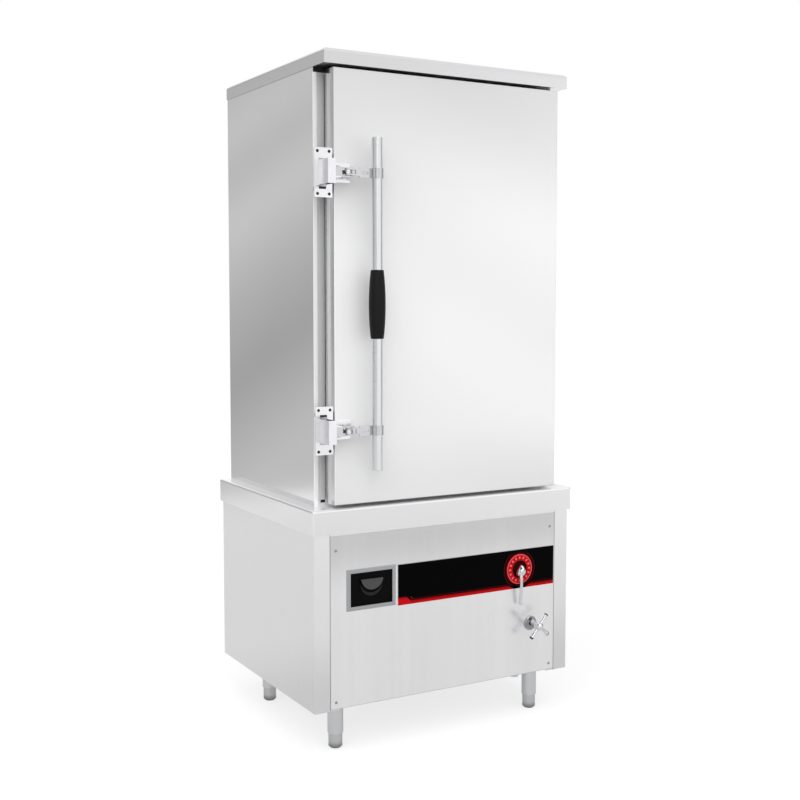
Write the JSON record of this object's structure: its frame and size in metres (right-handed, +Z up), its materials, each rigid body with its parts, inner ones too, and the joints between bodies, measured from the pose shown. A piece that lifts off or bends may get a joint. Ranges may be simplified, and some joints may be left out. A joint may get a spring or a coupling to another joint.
{
  "type": "commercial rice steamer",
  "caption": "Tall steaming cabinet with one latched insulated door over a wider base that holds a water tank, an induction heater, a gear switch, a breaker recess and a drain valve.",
  "frame": {"origin": "on the floor, under the middle of the whole object's box", "axes": "+Z up; +X to the right as seen from the front; +Y to the back, so the door faces -Y"},
  "size_m": [0.84, 0.755, 1.85],
  "materials": {
    "stainless": "brushed stainless sheet",
    "inner_stainless": "plain mill-finish stainless sheet",
    "leg_steel": "satin tube",
    "screw_steel": "plain screw heads",
    "bright_metal": "polished chrome",
    "latch_metal": "nickel-plated castings and pressings",
    "pin_steel": "turned steel",
    "grip_plastic": "black moulded grip with a fine grain",
    "black_plastic": "black moulding",
    "fascia_film": "glossy black film with a red stripe",
    "dial_film": "red ring with pale marks",
    "gasket_rubber": "black silicone",
    "foam": "rigid insulating foam",
    "coil_copper": "wound conductor under a heat-proof disc",
    "module_case": "finned case",
    "brass_fitting": "turned brass",
    "float_plastic": "hollow float on a thin arm"
  },
  "bodies": {
    "cabinet": {"base_back_panel": "stainless", "base_floor": "inner_stainless", "base_side_left": "stainless", "base_side_right": "stainless", "breaker_body": "black_plastic", "cable_gland": "black_plastic", "chamber_back_panel": "stainless", "chamber_insulation": "foam", "chamber_liner": "inner_stainless", "chamber_side_left": "stainless", "chamber_side_right": "stainless", "coil_tray": "inner_stainless", "counter": "stainless", "dial_ring": "dial_film", "drain_pipe": "inner_stainless", "drain_valve": "brass_fitting", "fan_frame": "black_plastic", "fascia_panel": "fascia_film", "filling_box": "inner_stainless", "front_panel": "stainless", "front_rail": "stainless", "gear_switch": "black_plastic", "hinge_leaves_cabinet": "pin_steel", "induction_coil": "coil_copper", "inlet_valve": "brass_fitting", "keeper_lower": "latch_metal", "keeper_upper": "latch_metal", "legs": "leg_steel", "power_module": "module_case", "rack_left": "inner_stainless", "rack_right": "inner_stainless", "roof_cap": "stainless", "screws": "screw_steel", "steam_plate": "inner_stainless", "steam_vent": "inner_stainless", "switch_housing": "stainless", "valve_escutcheon": "bright_metal", "water_tank": "inner_stainless"},
    "door": {"door_skin": "stainless", "door_insulation": "foam", "door_inner_pan": "inner_stainless", "door_gasket": "gasket_rubber", "hinge_leaves_door": "pin_steel", "latch_bases": "latch_metal"},
    "handle": {"handle_tube": "leg_steel", "handle_grip": "grip_plastic", "lever_arms": "latch_metal", "latch_pins": "pin_steel"},
    "claw_upper": {"latch_loop_upper": "latch_metal"},
    "claw_lower": {"latch_loop_lower": "latch_metal"},
    "gear_knob": {"gear_lever": "bright_metal"},
    "valve_wheel": {"valve_handle": "bright_metal"},
    "flap": {"switch_flap": "black_plastic"},
    "toggle": {"breaker_toggle": "black_plastic"},
    "rotor": {"fan_rotor": "black_plastic"},
    "float": {"float_arm": "float_plastic"},
    "foot_fl": {"foot_front_left": "leg_steel"},
    "foot_fr": {"foot_front_right": "leg_steel"},
    "foot_bl": {"foot_back_left": "leg_steel"},
    "foot_br": {"foot_back_right": "leg_steel"}
  },
  "joints": [
    {"name": "door_swing", "type": "hinge", "parent": "cabinet", "child": "door", "pos_m": [0.364, -0.2845, 1.2385], "axis": [0, 0, 1], "range_deg": [0, 120]},
    {"name": "handle_swing", "type": "hinge", "parent": "door", "child": "handle", "pos_m": [-0.336, -0.3505, 1.2035], "axis": [0, 0, -1], "range_deg": [0, 100]},
    {"name": "claw_upper_turn", "type": "hinge", "parent": "handle", "child": "claw_upper", "pos_m": [-0.322, -0.3415, 1.535], "axis": [0, 0, 1], "range_deg": [0, 112]},
    {"name": "claw_lower_turn", "type": "hinge", "parent": "handle", "child": "claw_lower", "pos_m": [-0.322, -0.3415, 0.872], "axis": [0, 0, 1], "range_deg": [0, 112]},
    {"name": "gear_turn", "type": "hinge", "parent": "cabinet", "child": "gear_knob", "pos_m": [0.24, -0.3005, 0.438], "axis": [0, 1, 0], "range_deg": [0, 270]},
    {"name": "drain_turn", "type": "hinge", "parent": "cabinet", "child": "valve_wheel", "pos_m": [0.281, -0.3005, 0.274], "axis": [0, -1, 0], "range_deg": [0, 540]},
    {"name": "flap_lift", "type": "hinge", "parent": "cabinet", "child": "flap", "pos_m": [-0.243, -0.298, 0.4824], "axis": [-1, 0, 0], "range_deg": [0, 100]},
    {"name": "toggle_rock", "type": "hinge", "parent": "cabinet", "child": "toggle", "pos_m": [-0.243, -0.271, 0.441], "axis": [1, 0, 0], "range_deg": [0, 50]},
    {"name": "fan_spin", "type": "hinge", "parent": "cabinet", "child": "rotor", "pos_m": [-0.305, 0.2195, 0.1295], "axis": [0, 0, 1], "continuous": true},
    {"name": "float_swing", "type": "hinge", "parent": "cabinet", "child": "float", "pos_m": [0.372, 0.2745, 0.568], "axis": [-1, 0, 0], "range_deg": [0, 15]},
    {"name": "foot_fl_height", "type": "slide", "parent": "cabinet", "child": "foot_fl", "axis": [0, 0, -1], "range_m": [0, 0.02]},
    {"name": "foot_fr_height", "type": "slide", "parent": "cabinet", "child": "foot_fr", "axis": [0, 0, -1], "range_m": [0, 0.02]},
    {"name": "foot_bl_height", "type": "slide", "parent": "cabinet", "child": "foot_bl", "axis": [0, 0, -1], "range_m": [0, 0.02]},
    {"name": "foot_br_height", "type": "slide", "parent": "cabinet", "child": "foot_br", "axis": [0, 0, -1], "range_m": [0, 0.02]}
  ],
  "couplings": [
    {"joint": "claw_upper_turn", "follows": "handle_swing", "ratio": 1.1},
    {"joint": "claw_lower_turn", "follows": "handle_swing", "ratio": 1.1}
  ]
}
